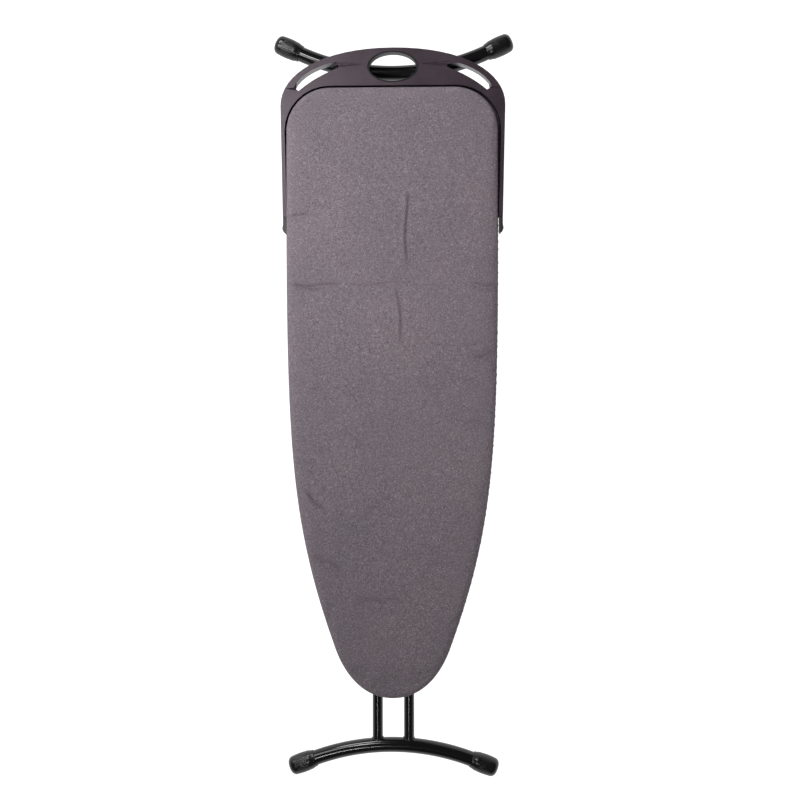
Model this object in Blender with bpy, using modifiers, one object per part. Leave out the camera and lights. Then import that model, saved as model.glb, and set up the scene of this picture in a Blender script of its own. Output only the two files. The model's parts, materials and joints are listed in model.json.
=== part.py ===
"""Folding ironing board: a padded top on a steel frame, a moulded tail frame and crossed tube legs.

The board lies folded with its fabric face up. +X is its right side, +Y runs to the tail and +Z leaves
the fabric. Lengths are metres. Inside the script y = 0 is the nose tip and z = 0 the panel's top face;
the last step moves everything so that the origin is the middle of the base of the whole object.
"""

import math

import bmesh
import bpy
from mathutils import Matrix, Vector
from mathutils.geometry import interpolate_bezier

NAME = "ironing_board"
GAP = 0.0003

# Board top, seen from above: half its width at each place along it.
NOSE_HANDLE = 0.082
SHOULDER = (0.121, 0.104)
SHOULDER_SLOPE = 0.36
SHOULDER_IN = 0.020
SHOULDER_OUT = 0.261
HALF_WIDTH = 0.222
SIDE_Y = 0.966
SIDE_HANDLE = 0.465
TAIL_Y = 1.288
TAIL_RADIUS = 0.092

# Heights of the layers.
PANEL_THICKNESS = 0.0007
PAD_THICKNESS = 0.0080
COVER_THICKNESS = 0.0015
RIM_DEPTH = 0.0200
RIM_WALL = 0.0015
RIM_LIP = 0.0080
RIM_INSET = 0.0022
HEM_WIDTH = 0.0140

# Crossed legs: both upper parts are equal, so the sliding end runs straight. The front leg is the longer
# one below the crossing, because its foot arches less, and so both feet stand level.
PIVOT_Z = -0.0140
HINGE_Y = 1.098
UPPER_LENGTH = 0.480
FRONT_LOWER_LENGTH = 0.727
REAR_LOWER_LENGTH = 0.710
FOLDED_ANGLE = math.radians(1.5)
LEG_RADIUS = 0.011
LEG_WALL = 0.0012
FRONT_LEG_X = 0.0335
REAR_LEG_X = 0.0600
AXLE_RADIUS = 0.0050
BOLT_RADIUS = 0.0040
FOOT_RADIUS = 0.0160
FOOT_ARC_RADIUS = 0.480
FOOT_END_LENGTH = 0.058
FRONT_FOOT_SWEEP = math.radians(20.4)
REAR_FOOT_SWEEP = math.radians(24.5)
CAP_RADIUS = 0.0210
CAP_LENGTH = 0.058

# Slide rails and what runs in them.
RAIL_X = 0.0985
RAIL_DEPTH = 0.0140
RAIL_HALF_HEIGHT = 0.0122
RAIL_WALL = 0.0015
RAIL_START = 0.095
RAIL_END = 0.470
SHOE_LENGTH = 0.040

# Tail frame.
FRAME_TOP_Z = 0.0020
FRAME_DEPTH = 0.0275
FRAME_WALL = 0.0030
LEDGE_THICKNESS = 0.0018
LEDGE_REACH = 0.0150
FRAME_HALF_WIDTH = 0.237
FRAME_TOP_Y = 1.371
FRAME_SIDE_Y = 1.250
ARM_END_Y = 1.014
ARM_WIDTH = 0.0085
ARM_TAPER = 0.0050
GRIP_Y = 1.331
GRIP_HALF = (0.0540, 0.0330)
GRIP_RING = 0.0050
SLOT_WALL = 0.0025
BRACKET_X = 0.150
BRACKET_THICKNESS = 0.0020
BRACKET_CLEARANCE = 0.0003
REAR_BRACE_Y = 1.232

COLOURS = {
    "fabric": ((0.23, 0.19, 0.20, 1.0), 0.9, 0.0),
    "foam": ((0.75, 0.74, 0.70, 1.0), 0.95, 0.0),
    "steel": ((0.55, 0.55, 0.56, 1.0), 0.45, 0.9),
    "black_tube": ((0.012, 0.012, 0.013, 1.0), 0.22, 0.0),
    "black_plastic": ((0.02, 0.02, 0.021, 1.0), 0.5, 0.0),
    "frame_plastic": ((0.06, 0.045, 0.055, 1.0), 0.45, 0.0),
    "zinc": ((0.70, 0.70, 0.72, 1.0), 0.3, 1.0),
}


def clear_scene():
    for obj in list(bpy.data.objects):
        bpy.data.objects.remove(obj, do_unlink=True)


def new_collection(name):
    made = bpy.data.collections.new(name)
    bpy.context.scene.collection.children.link(made)
    return made


def material(name):
    made = bpy.data.materials.get(name)
    if made is not None:
        return made
    made = bpy.data.materials.new(name)
    made.use_nodes = True
    colour, roughness, metallic = COLOURS[name]
    shader = made.node_tree.nodes["Principled BSDF"]
    shader.inputs["Base Color"].default_value = colour
    shader.inputs["Roughness"].default_value = roughness
    shader.inputs["Metallic"].default_value = metallic
    return made


def add_object(name, data, look, parent=None, collection=None):
    obj = bpy.data.objects.new(name, data)
    (collection or PARTS).objects.link(obj)
    if look:
        data.materials.append(material(look))
    if parent is not None:
        hang(obj, parent)
    return obj


def hang(obj, parent):
    """Parents an object to an empty and keeps its place in the world."""
    obj.parent = parent
    obj.matrix_parent_inverse = world_matrix(parent).inverted()


def world_matrix(obj):
    bpy.context.view_layer.update()
    return obj.matrix_world.copy()


def empty(name, location, parent=None):
    made = bpy.data.objects.new(name, None)
    PARTS.objects.link(made)
    made.location = location
    if parent is not None:
        hang(made, parent)
    return made


def cutter(obj):
    """Takes a helper out of the parts: it only cuts or joins."""
    for holder in list(obj.users_collection):
        holder.objects.unlink(obj)
    CUTTERS.objects.link(obj)
    obj.hide_render = True
    obj.display_type = "WIRE"
    return obj


def boolean(obj, other, operation):
    change = obj.modifiers.new(operation.lower(), "BOOLEAN")
    change.operation = operation
    change.solver = "EXACT"
    change.object = cutter(other)
    hang(other, obj)
    return obj


def cut(obj, *others):
    for other in others:
        boolean(obj, other, "DIFFERENCE")
    return obj


def join(obj, *others):
    for other in others:
        boolean(obj, other, "UNION")
    return obj


def as_mesh(obj):
    """Turns a curve object into a mesh object with its loose caps welded."""
    bpy.context.view_layer.update()
    graph = bpy.context.evaluated_depsgraph_get()
    data = bpy.data.meshes.new_from_object(obj.evaluated_get(graph))
    shape = bmesh.new()
    shape.from_mesh(data)
    bmesh.ops.remove_doubles(shape, verts=shape.verts, dist=0.00001)
    bmesh.ops.recalc_face_normals(shape, faces=shape.faces)
    shape.to_mesh(data)
    shape.free()
    name = obj.name
    place = obj.matrix_world.copy()
    look = obj.data.materials[0] if obj.data.materials else None
    bpy.data.objects.remove(obj, do_unlink=True)
    made = bpy.data.objects.new(name, data)
    PARTS.objects.link(made)
    made.matrix_world = place
    if look and not data.materials:
        data.materials.append(look)
    return made


def smooth(obj):
    obj.data.shade_smooth()
    obj.data.set_sharp_from_angle(angle=math.radians(40))
    return obj


def turn_to(axis):
    """The rotation that carries local Z onto an axis."""
    return Vector((0, 0, 1)).rotation_difference(Vector(axis)).to_euler()


def box(name, low, high, look=None):
    shape = bmesh.new()
    bmesh.ops.create_cube(shape, size=1.0)
    size = [h - l for l, h in zip(low, high)]
    bmesh.ops.scale(shape, vec=size, verts=shape.verts)
    data = bpy.data.meshes.new(name)
    shape.to_mesh(data)
    shape.free()
    obj = add_object(name, data, look)
    obj.location = [(l + h) / 2 for l, h in zip(low, high)]
    return obj


def rod(name, radius, start, end, look=None, sides=20):
    """A plain cylinder from one point to another."""
    start = Vector(start)
    end = Vector(end)
    shape = bmesh.new()
    bmesh.ops.create_cone(
        shape, cap_ends=True, segments=sides, radius1=radius, radius2=radius, depth=(end - start).length
    )
    data = bpy.data.meshes.new(name)
    shape.to_mesh(data)
    shape.free()
    obj = add_object(name, data, look)
    obj.location = (start + end) / 2
    obj.rotation_euler = turn_to(end - start)
    return smooth(obj)


def turned(name, profile, start, axis, look=None, sides=20, ring=False):
    """A turned piece: (radius, height) pairs down its outer side, with height along the axis from start."""
    data = bpy.data.meshes.new(name)
    edges = [(i, i + 1) for i in range(len(profile) - 1)]
    if ring:
        edges.append((len(profile) - 1, 0))
    data.from_pydata([(r, 0.0, h) for r, h in profile], edges, [])
    obj = add_object(name, data, look)
    turn = obj.modifiers.new("turn", "SCREW")
    turn.steps = sides
    turn.render_steps = sides
    turn.use_merge_vertices = True
    turn.merge_threshold = 0.00001
    obj.location = start
    obj.rotation_euler = turn_to(axis)
    return obj


def washer(name, radius, bore, x_low, x_high, centre, look):
    """A ring on a cross axis, from x_low to x_high."""
    height = x_high - x_low
    profile = [(radius, height), (radius, 0.0), (bore, 0.0), (bore, height)]
    return turned(name, profile, (x_low, centre[0], centre[1]), (1, 0, 0), look, ring=True)


def plate(name, loops, z_low, z_high, look=None):
    """A flat piece between two heights: the loops inside the first one are holes."""
    data = bpy.data.curves.new(name, "CURVE")
    data.dimensions = "2D"
    data.fill_mode = "BOTH"
    data.extrude = (z_high - z_low) / 2
    for loop in loops:
        spline = data.splines.new("POLY")
        spline.points.add(len(loop) - 1)
        for point, (x, y) in zip(spline.points, loop):
            point.co = (x, y, 0.0, 1.0)
        spline.use_cyclic_u = True
    obj = add_object(name, data, look)
    obj.location = (0, 0, (z_low + z_high) / 2)
    return as_mesh(obj)


def side_plate(name, loop, x_low, x_high, look=None):
    """A flat piece that stands across X: its loop holds (y, z) pairs."""
    obj = plate(name, [loop], 0.0, x_high - x_low, look)
    obj.matrix_world = Matrix(
        ((0, 0, 1, (x_low + x_high) / 2), (1, 0, 0, 0), (0, 1, 0, 0), (0, 0, 0, 1))
    )
    return obj


def inward(loop, distance):
    """Moves each point of a closed anticlockwise loop inwards along its normal."""
    moved = []
    count = len(loop)
    for i, (x, y) in enumerate(loop):
        before = Vector(loop[i - 1])
        after = Vector(loop[(i + 1) % count])
        along = (after - before).normalized()
        moved.append((x - along.y * distance, y + along.x * distance))
    return moved


def board_half():
    """The cover's right edge from the nose tip to the middle of the tail, as (x, y)."""
    slope = Vector((SHOULDER_SLOPE, 1.0)).normalized()
    nose = Vector((0, 0))
    shoulder = Vector(SHOULDER)
    side = Vector((HALF_WIDTH, SIDE_Y))
    points = interpolate_bezier(
        nose, nose + Vector((NOSE_HANDLE, 0)), shoulder - slope * SHOULDER_IN, shoulder, 11
    )
    points += interpolate_bezier(
        shoulder, shoulder + slope * SHOULDER_OUT, side - Vector((0, SIDE_HANDLE)), side, 13
    )[1:]
    centre = Vector((HALF_WIDTH - TAIL_RADIUS, TAIL_Y - TAIL_RADIUS))
    for i in range(9):
        turn = math.radians(90 * i / 8)
        points.append(centre + TAIL_RADIUS * Vector((math.cos(turn), math.sin(turn))))
    return [(p.x, p.y) for p in points]


def board_outline(inset):
    """The board's closed anticlockwise outline, moved in from the cover's edge."""
    half = board_half()
    mirrored = [(-x, y) for x, y in reversed(half[1:])]
    return inward(half + mirrored, inset)


def ellipse(centre, half, count=36):
    steps = [2 * math.pi * i / count for i in range(count)]
    return [(centre[0] + half[0] * math.cos(a), centre[1] + half[1] * math.sin(a)) for a in steps]


def along_leg(distance, front):
    """A point on a leg's centre line (y, z), counted from its upper end towards its foot."""
    start = HINGE_Y if front else HINGE_Y - 2 * UPPER_LENGTH * math.cos(FOLDED_ANGLE)
    towards = -1 if front else 1
    return (
        start + towards * distance * math.cos(FOLDED_ANGLE),
        PIVOT_Z - distance * math.sin(FOLDED_ANGLE),
    )


def leg_length(front):
    return UPPER_LENGTH + (FRONT_LOWER_LENGTH if front else REAR_LOWER_LENGTH)


def leg_axis(front):
    towards = -1 if front else 1
    return Vector((0, towards * math.cos(FOLDED_ANGLE), -math.sin(FOLDED_ANGLE)))


def leg_point(x, distance, front):
    y, z = along_leg(distance, front)
    return Vector((x, y, z))


# Board body ---------------------------------------------------------------------------------------


def vent_holes():
    """Diamond steam holes in staggered rows over the panel."""
    holes = []
    rows = 15
    for row in range(rows):
        y = 0.075 + row * 0.083
        reach = 0.045 + 0.135 * min(1.0, y / 0.45)
        count = 2 + int(reach * 2 / 0.075)
        for i in range(count):
            x = -reach + 2 * reach * i / (count - 1)
            holes.append([(x + 0.009, y), (x, y + 0.020), (x - 0.009, y), (x, y - 0.020)])
    return holes


def make_panel():
    inset = RIM_INSET + RIM_WALL + GAP
    hole_loops = vent_holes()
    return plate("board_panel", [board_outline(inset)] + hole_loops, -PANEL_THICKNESS, 0.0, "steel")


def make_rim():
    """A rolled steel rim: an upright wall with a lip turned in along its lower edge."""
    outer = board_outline(RIM_INSET)
    wall = plate("board_rim", [outer, board_outline(RIM_INSET + RIM_WALL)], -RIM_DEPTH, 0.0, "steel")
    lip = plate("rim_lip", [outer, board_outline(RIM_INSET + RIM_LIP)], -RIM_DEPTH - RIM_WALL, -RIM_DEPTH)
    lip.location.z += 0.0002
    return join(wall, lip)


def make_pad():
    return plate("foam_pad", [board_outline(RIM_INSET)], GAP, GAP + PAD_THICKNESS, "foam")


def make_cover():
    """The fabric: a top, a skirt round the rim and a hem turned in under it."""
    low = GAP * 2 + PAD_THICKNESS
    hem_z = -RIM_DEPTH - RIM_WALL - GAP
    edge = board_outline(0.0)
    top = plate("cover", [edge], low, low + COVER_THICKNESS, "fabric")
    skirt = plate("cover_skirt", [edge, board_outline(COVER_THICKNESS)], hem_z - 0.0002, low + 0.0002)
    hem = plate("cover_hem", [edge, board_outline(HEM_WIDTH)], hem_z - COVER_THICKNESS, hem_z)
    return join(top, skirt, hem)


def make_rail(name, side):
    """A C channel that opens inwards and guides one slide shoe."""
    outer = side * RAIL_X
    inner = side * (RAIL_X - RAIL_DEPTH)
    low = PIVOT_Z - RAIL_HALF_HEIGHT
    high = PIVOT_Z + RAIL_HALF_HEIGHT
    rail = box(name, (min(outer, inner), RAIL_START, low), (max(outer, inner), RAIL_END, high), "steel")
    groove = box(
        name + "_groove",
        (min(inner - side * 0.01, outer - side * RAIL_WALL), RAIL_START - 0.01, low + RAIL_WALL),
        (max(inner - side * 0.01, outer - side * RAIL_WALL), RAIL_END + 0.01, high - RAIL_WALL),
    )
    return cut(rail, groove)


def make_brace(name, y, half, depth):
    """A pressed steel channel across the underside of the panel."""
    top = -PANEL_THICKNESS - GAP
    brace = box(name, (-half, y - 0.014, top - depth), (half, y + 0.014, top), "steel")
    hollow = box(
        name + "_hollow",
        (-half - 0.01, y - 0.0125, top - depth - 0.01),
        (half + 0.01, y + 0.0125, top - 0.0015),
    )
    return cut(brace, hollow)


def make_hinge_bracket(name, side):
    """A folded plate that carries one end of the hinge axle."""
    inner = side * 0.0465
    outer = side * 0.0485
    top = -PANEL_THICKNESS - GAP
    ear_top = top - 0.0006
    loop = [
        (HINGE_Y - 0.031, ear_top),
        (HINGE_Y - 0.014, -0.024),
        (HINGE_Y + 0.014, -0.024),
        (HINGE_Y + 0.031, ear_top),
    ]
    ear = side_plate(name, loop, min(inner, outer), max(inner, outer), "steel")
    foot = box(
        name + "_foot",
        (min(side * 0.0472, side * 0.078), HINGE_Y - 0.032, top - 0.002),
        (max(side * 0.0472, side * 0.078), HINGE_Y + 0.032, top),
    )
    hole = rod(
        name + "_hole", AXLE_RADIUS + 0.0001, (side * 0.04, HINGE_Y, PIVOT_Z), (side * 0.06, HINGE_Y, PIVOT_Z)
    )
    return cut(join(ear, foot), hole)


def make_hinge_axle():
    return rod("hinge_axle", AXLE_RADIUS, (-0.053, HINGE_Y, PIVOT_Z), (0.053, HINGE_Y, PIVOT_Z), "zinc")


def make_axle_nuts():
    """Two push nuts that keep the hinge axle in its brackets."""
    return pair_on_axis("axle_nut", 0.0085, 0.0488, 0.0558, (HINGE_Y, PIVOT_Z), AXLE_RADIUS + GAP, "zinc")


def pair_on_axis(name, radius, x_low, x_high, centre, bore, look):
    """Two equal rings, one at each side."""
    return [
        washer(name + "_right", radius, bore, x_low, x_high, centre, look),
        washer(name + "_left", radius, bore, -x_high, -x_low, centre, look),
    ]


def make_rack():
    """The height rack: a notched strip under the panel, on the centre line."""
    top = -PANEL_THICKNESS - GAP
    pitch = 0.022
    strip_top = top - 0.0005
    loop = [(0.470, strip_top), (0.235, strip_top), (0.235, top - 0.0068)]
    for i in range(9):
        y = 0.250 + i * pitch
        loop += [(y, top - 0.0068), (y, top - 0.0030), (y + 0.008, top - 0.0030), (y + 0.012, top - 0.0068)]
    loop.append((0.470, top - 0.0068))
    strip = side_plate("rack", loop, -0.002, 0.002, "steel")
    flange = box("rack_flange", (-0.0012, 0.234, top - 0.0015), (0.014, 0.471, top))
    return join(strip, flange)


def frame_half():
    """The tail frame's right outer edge from the arm's end up to the middle of the top."""
    top = Vector((0, FRAME_TOP_Y))
    side = Vector((FRAME_HALF_WIDTH, FRAME_SIDE_Y))
    corner = interpolate_bezier(side, side + Vector((0, 0.067)), top + Vector((0.150, 0)), top, 17)
    points = [(FRAME_HALF_WIDTH - ARM_TAPER, ARM_END_Y)]
    points += [(p.x, p.y) for p in corner]
    return points


def frame_inner_half(reach=0.0):
    """The tail frame's right inner edge, from the arm's end round the board's tail."""
    radius = TAIL_RADIUS + 0.003 - reach
    half = FRAME_HALF_WIDTH - ARM_WIDTH - reach
    top = TAIL_Y + 0.0035 - reach
    points = [(half - ARM_TAPER, ARM_END_Y)]
    for i in range(9):
        turn = math.radians(90 * i / 8)
        points.append((half - radius + radius * math.cos(turn), top - radius + radius * math.sin(turn)))
    points.append((0.0, top))
    return points


def both_sides(right):
    """Closes a loop from its right half, which starts and ends on the centre line."""
    left = [(-x, y) for x, y in reversed(right)]
    return right[:-1] + left[:-1]


def frame_outline(inset=0.0, reach=0.0):
    loop = both_sides(list(reversed(frame_inner_half(reach))) + frame_half())
    return inward(loop, inset) if inset else loop


def board_well():
    """The space inside the tail frame that the board's tail drops into."""
    half = frame_inner_half()
    foot_y = ARM_END_Y - 0.05
    return both_sides([(0.0, foot_y), (half[0][0], foot_y)] + half)


def slot_outline(side, grow=0.0):
    """A crescent hanger slot that follows the frame's outer edge."""
    edge = frame_half()[1:]
    middle = [p for p in edge if 0.105 < p[0] < 0.222]
    outer = []
    inner = []
    web = 0.0115 - grow
    width = 0.020 + 2 * grow
    for i, point in enumerate(middle):
        before = Vector(edge[edge.index(point) - 1])
        after = Vector(edge[edge.index(point) + 1])
        along = (after - before).normalized()
        normal = Vector((-along.y, along.x))
        taper = math.sin(math.pi * (i + 0.9) / (len(middle) + 0.8)) ** 0.4
        spine = Vector(point) + normal * (web + width / 2)
        outer.append(spine - normal * width / 2 * taper)
        inner.append(spine + normal * width / 2 * taper)
    loop = [(p.x, p.y) for p in outer + list(reversed(inner))]
    if side < 0:
        loop = [(-x, y) for x, y in reversed(loop)]
    return loop


def make_tail_frame():
    """The moulded tail: a top web with walls below it and a ledge that reaches under the board's edge."""
    low = FRAME_TOP_Z - FRAME_DEPTH
    web_low = FRAME_TOP_Z - FRAME_WALL
    grip_hole = ellipse((0, GRIP_Y), GRIP_HALF)
    grip_wall = ellipse((0, GRIP_Y), (GRIP_HALF[0] + FRAME_WALL, GRIP_HALF[1] + FRAME_WALL))
    slots = [slot_outline(side) for side in (1, -1)]
    slot_walls = [slot_outline(side, SLOT_WALL) for side in (1, -1)]
    outline = frame_outline(reach=LEDGE_REACH)
    frame = plate("tail_frame", [outline, grip_hole] + slots, low, FRAME_TOP_Z, "frame_plastic")
    well = plate("frame_well", [board_well()], low + LEDGE_THICKNESS, FRAME_TOP_Z + 0.01)
    pocket = plate("frame_pocket", [frame_outline(FRAME_WALL), grip_wall] + slot_walls, low - 0.01, web_low)
    return cut(frame, well, pocket)


def make_frame_bracket(name, side):
    """A steel strap under the board that ties the tail frame to the rear brace."""
    x = side * BRACKET_X
    high = FRAME_TOP_Z - FRAME_DEPTH - BRACKET_CLEARANCE
    low = high - BRACKET_THICKNESS
    return box(name, (x - 0.016, REAR_BRACE_Y - 0.012, low), (x + 0.016, TAIL_Y + 0.012, high), "steel")


def make_handle_ring():
    """The raised oval lining of the grip hole."""
    outer = ellipse((0, GRIP_Y), (GRIP_HALF[0] - GAP, GRIP_HALF[1] - GAP))
    inner = ellipse((0, GRIP_Y), (GRIP_HALF[0] - GRIP_RING, GRIP_HALF[1] - 0.003))
    low = FRAME_TOP_Z - FRAME_DEPTH
    return plate("handle_ring", [outer, inner], low, FRAME_TOP_Z + 0.002, "black_plastic")


def make_arm_clip(name, side):
    """The black clip that closes the end of one frame arm."""
    outer = FRAME_HALF_WIDTH - ARM_TAPER
    loop = [
        (outer - 0.0085, ARM_END_Y - GAP),
        (outer - 0.0085, ARM_END_Y - 0.030),
        (outer - 0.0070, ARM_END_Y - 0.036),
        (outer - 0.0010, ARM_END_Y - 0.030),
        (outer + 0.0015, ARM_END_Y - 0.024),
        (outer, ARM_END_Y - 0.014),
        (outer, ARM_END_Y - GAP),
    ]
    if side < 0:
        loop = [(-x, y) for x, y in reversed(loop)]
    return plate(name, [loop], -0.018, FRAME_TOP_Z - 0.001, "black_plastic")


def make_frame_screw(name, x, y, z):
    """The pan head of a screw that holds a frame bracket to the rear brace."""
    profile = [(0.0, 0.0022), (0.0030, 0.0018), (0.0040, 0.0), (0.0, 0.0)]
    return turned(name, profile, (x, y, z), (0, 0, -1), "zinc", sides=16)


# Legs ---------------------------------------------------------------------------------------------


def foot_path(front):
    """The foot's centre line: an arc with straight ends, in the plane of its leg frame."""
    sweep = FRONT_FOOT_SWEEP if front else REAR_FOOT_SWEEP
    middle = leg_point(0, leg_length(front), front)
    away = leg_axis(front)
    steps = 10
    points = []
    for i in range(steps + 1):
        turn = sweep * (2 * i / steps - 1)
        drop = FOOT_ARC_RADIUS * (1 - math.cos(turn))
        points.append(middle + Vector((FOOT_ARC_RADIUS * math.sin(turn), 0, 0)) + away * drop)
    for end, side in ((0, -1), (-1, 1)):
        along = Vector((side * math.cos(sweep), 0, 0)) + away * math.sin(sweep)
        tip = points[end] + along * (FOOT_END_LENGTH - 0.014)
        if side < 0:
            points.insert(0, tip)
        else:
            points.append(tip)
    return points


def foot_end(front, side):
    """The end of a foot's arc and the direction in which its straight end leaves."""
    sweep = FRONT_FOOT_SWEEP if front else REAR_FOOT_SWEEP
    away = leg_axis(front)
    middle = leg_point(0, leg_length(front), front)
    drop = FOOT_ARC_RADIUS * (1 - math.cos(sweep))
    along = Vector((side * math.cos(sweep), 0, 0)) + away * math.sin(sweep)
    return middle + Vector((side * FOOT_ARC_RADIUS * math.sin(sweep), 0, 0)) + away * drop, along


def path_curve(name, points, radius, look=None, caps=True, rings=2):
    data = bpy.data.curves.new(name, "CURVE")
    data.dimensions = "3D"
    data.bevel_depth = radius
    data.bevel_resolution = rings
    data.use_fill_caps = caps
    spline = data.splines.new("POLY")
    spline.points.add(len(points) - 1)
    for point, place in zip(spline.points, points):
        point.co = (*place, 1.0)
    return add_object(name, data, look)


def make_foot_tube(name, front):
    """A bent steel tube with open ends."""
    tube = as_mesh(path_curve(name, foot_path(front), FOOT_RADIUS, "black_tube", caps=False, rings=3))
    wall = tube.modifiers.new("wall", "SOLIDIFY")
    wall.thickness = LEG_WALL
    wall.offset = -1.0
    return smooth(tube)


def make_foot_cap(name, front, side):
    """A ribbed end cap that slips over a foot's straight end."""
    start, along = foot_end(front, side)
    length = CAP_LENGTH
    profile = [(0.0, length), (0.0150, length), (0.0190, length - 0.002), (CAP_RADIUS, length - 0.006)]
    rib_pitch = 0.0100
    for i in range(4):
        high = length - 0.013 - i * rib_pitch
        profile += [(CAP_RADIUS, high), (CAP_RADIUS - 0.0015, high - 0.0025), (CAP_RADIUS, high - 0.0050)]
    profile += [
        (CAP_RADIUS, 0.004),
        (CAP_RADIUS - 0.002, 0.0),
        (FOOT_RADIUS + GAP, 0.0),
        (FOOT_RADIUS + GAP, length - 0.0137),
        (0.0, length - 0.0137),
    ]
    return turned(name, profile, start, along, "black_plastic", sides=18)


def make_leg_tube(name, x, front):
    """A steel leg tube: closed and rounded at its upper end, open and coped at its foot."""
    total = leg_length(front)
    bore = LEG_RADIUS - LEG_WALL
    profile = [(0.0, LEG_RADIUS)]
    for i in range(1, 5):
        turn = math.radians(90 * i / 4)
        profile.append((LEG_RADIUS * math.sin(turn), LEG_RADIUS * math.cos(turn)))
    profile += [(LEG_RADIUS, -total), (bore, -total), (bore, -0.018), (0.0, -0.018)]
    axis = leg_axis(front)
    tube = turned(name, profile, leg_point(x, 0, front), -axis, "black_tube", sides=20)
    reach = LEG_RADIUS * 2
    pivot = leg_point(x, UPPER_LENGTH, front)
    top = leg_point(x, 0, front)
    across = Vector((reach, 0, 0))
    top_hole = rod(name + "_top_hole", AXLE_RADIUS + GAP, top - across, top + across, sides=16)
    pivot_hole = rod(name + "_pivot_hole", BOLT_RADIUS + GAP, pivot - across, pivot + across, sides=16)
    cope = as_mesh(path_curve(name + "_cope", foot_path(front), FOOT_RADIUS + GAP, rings=3))
    return cut(tube, top_hole, pivot_hole, cope)


def make_leg_brace(name, x, distance, front, radius):
    """A short tube that joins the two tubes of a leg frame."""
    centre = leg_point(0, distance, front)
    across = Vector((x, 0, 0))
    brace = rod(name, radius, centre - across, centre + across, "black_tube", sides=16)
    for side in (1, -1):
        end = Vector((side * x, 0, 0))
        notch = rod(
            name + "_notch", LEG_RADIUS + GAP, leg_point(0, distance - 0.03, front) + end,
            leg_point(0, distance + 0.03, front) + end, sides=20,
        )
        cut(brace, notch)
    return brace


def make_scissor_bolts():
    """The two headed bolts of the scissor pivot, one at each side."""
    y, z = along_leg(UPPER_LENGTH, True)
    outer = REAR_LEG_X + LEG_RADIUS + GAP
    inner = FRONT_LEG_X - LEG_RADIUS - 0.0065
    bolts = []
    for side in (1, -1):
        length = outer - inner
        profile = [
            (0.0, 0.0032), (0.0050, 0.0026), (0.0072, 0.0008), (0.0072, 0.0), (BOLT_RADIUS, 0.0),
            (BOLT_RADIUS, -length), (0.0, -length),
        ]
        name = "scissor_bolt_right" if side > 0 else "scissor_bolt_left"
        bolts.append(turned(name, profile, (side * outer, y, z), (side, 0, 0), "zinc", sides=18))
    return bolts


def make_scissor_nuts():
    y, z = along_leg(UPPER_LENGTH, True)
    high = FRONT_LEG_X - LEG_RADIUS - GAP
    nuts = []
    for side in (1, -1):
        ends = sorted((side * high, side * (high - 0.0050)))
        bore = (BOLT_RADIUS + GAP) / math.cos(math.pi / 6)
        profile = [(0.0080, 0.0050), (0.0080, 0.0), (bore, 0.0), (bore, 0.0050)]
        name = "scissor_nut_right" if side > 0 else "scissor_nut_left"
        nuts.append(turned(name, profile, (ends[0], y, z), (1, 0, 0), "zinc", sides=6, ring=True))
    return nuts


def make_scissor_spacers():
    low = FRONT_LEG_X + LEG_RADIUS + GAP
    high = REAR_LEG_X - LEG_RADIUS - GAP
    centre = along_leg(UPPER_LENGTH, True)
    return pair_on_axis("scissor_spacer", 0.0090, low, high, centre, BOLT_RADIUS + GAP, "black_plastic")


def make_hinge_spacers():
    low = FRONT_LEG_X + LEG_RADIUS + GAP
    bore = AXLE_RADIUS + GAP
    return pair_on_axis("hinge_spacer", 0.0090, low, 0.0462, (HINGE_Y, PIVOT_Z), bore, "black_plastic")


# Slide carriage and height lever ------------------------------------------------------------------


def make_slide_bar(y):
    return rod("slide_bar", AXLE_RADIUS, (-0.086, y, PIVOT_Z), (0.086, y, PIVOT_Z), "zinc")


def make_shoe(name, side, y):
    """A plastic shoe on the bar's end that runs in its rail."""
    wall = RAIL_X - RAIL_WALL - 0.0004
    inner = RAIL_X - RAIL_DEPTH + 0.0005
    half = RAIL_HALF_HEIGHT - RAIL_WALL - 0.0004
    low = (min(side * inner, side * wall), y - SHOE_LENGTH / 2, PIVOT_Z - half)
    high = (max(side * inner, side * wall), y + SHOE_LENGTH / 2, PIVOT_Z + half)
    shoe = box(name, low, high, "black_plastic")
    collar_ends = sorted((side * (inner - 0.008), side * (inner + 0.004)))
    collar = rod(name + "_collar", 0.0095, (collar_ends[0], y, PIVOT_Z), (collar_ends[1], y, PIVOT_Z))
    hole_ends = sorted((side * (inner - 0.012), side * (0.0863)))
    hole = rod(name + "_hole", AXLE_RADIUS + GAP, (hole_ends[0], y, PIVOT_Z), (hole_ends[1], y, PIVOT_Z))
    return cut(join(shoe, collar), hole)


def make_bar_spacers(y):
    """Rings that keep the rear leg's tubes in place along the slide bar."""
    return pair_on_axis(
        "bar_spacer",
        0.0085,
        0.0200,
        REAR_LEG_X - LEG_RADIUS - GAP,
        (y, PIVOT_Z),
        AXLE_RADIUS + GAP,
        "black_plastic",
    )


def make_yoke(y):
    """Two hanging ears and a web that carry the height lever on the slide bar."""
    ears = []
    for side in (1, -1):
        loop = [
            (y + 0.009, PIVOT_Z - 0.006), (y + 0.006, PIVOT_Z + 0.0085), (y - 0.008, PIVOT_Z + 0.0085),
            (y - 0.040, PIVOT_Z + 0.004), (y - 0.042, PIVOT_Z - 0.010), (y - 0.006, PIVOT_Z - 0.010),
        ]
        ends = sorted((side * 0.0150, side * 0.0170))
        ears.append(side_plate("lever_yoke", loop, ends[0], ends[1], "steel"))
    web = box("yoke_web", (-0.016, y + 0.0055, PIVOT_Z - 0.010), (0.016, y + 0.0085, PIVOT_Z - 0.0065))
    ears[0] = join(ears[0], ears[1], web)
    bar_hole = rod("yoke_bar_hole", AXLE_RADIUS + GAP, (-0.02, y, PIVOT_Z), (0.02, y, PIVOT_Z), sides=16)
    pin_y = y - 0.032
    pin_z = PIVOT_Z - 0.003
    pin_hole = rod("yoke_pin_hole", 0.0027, (-0.02, pin_y, pin_z), (0.02, pin_y, pin_z), sides=12)
    return cut(ears[0], bar_hole, pin_hole)


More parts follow.
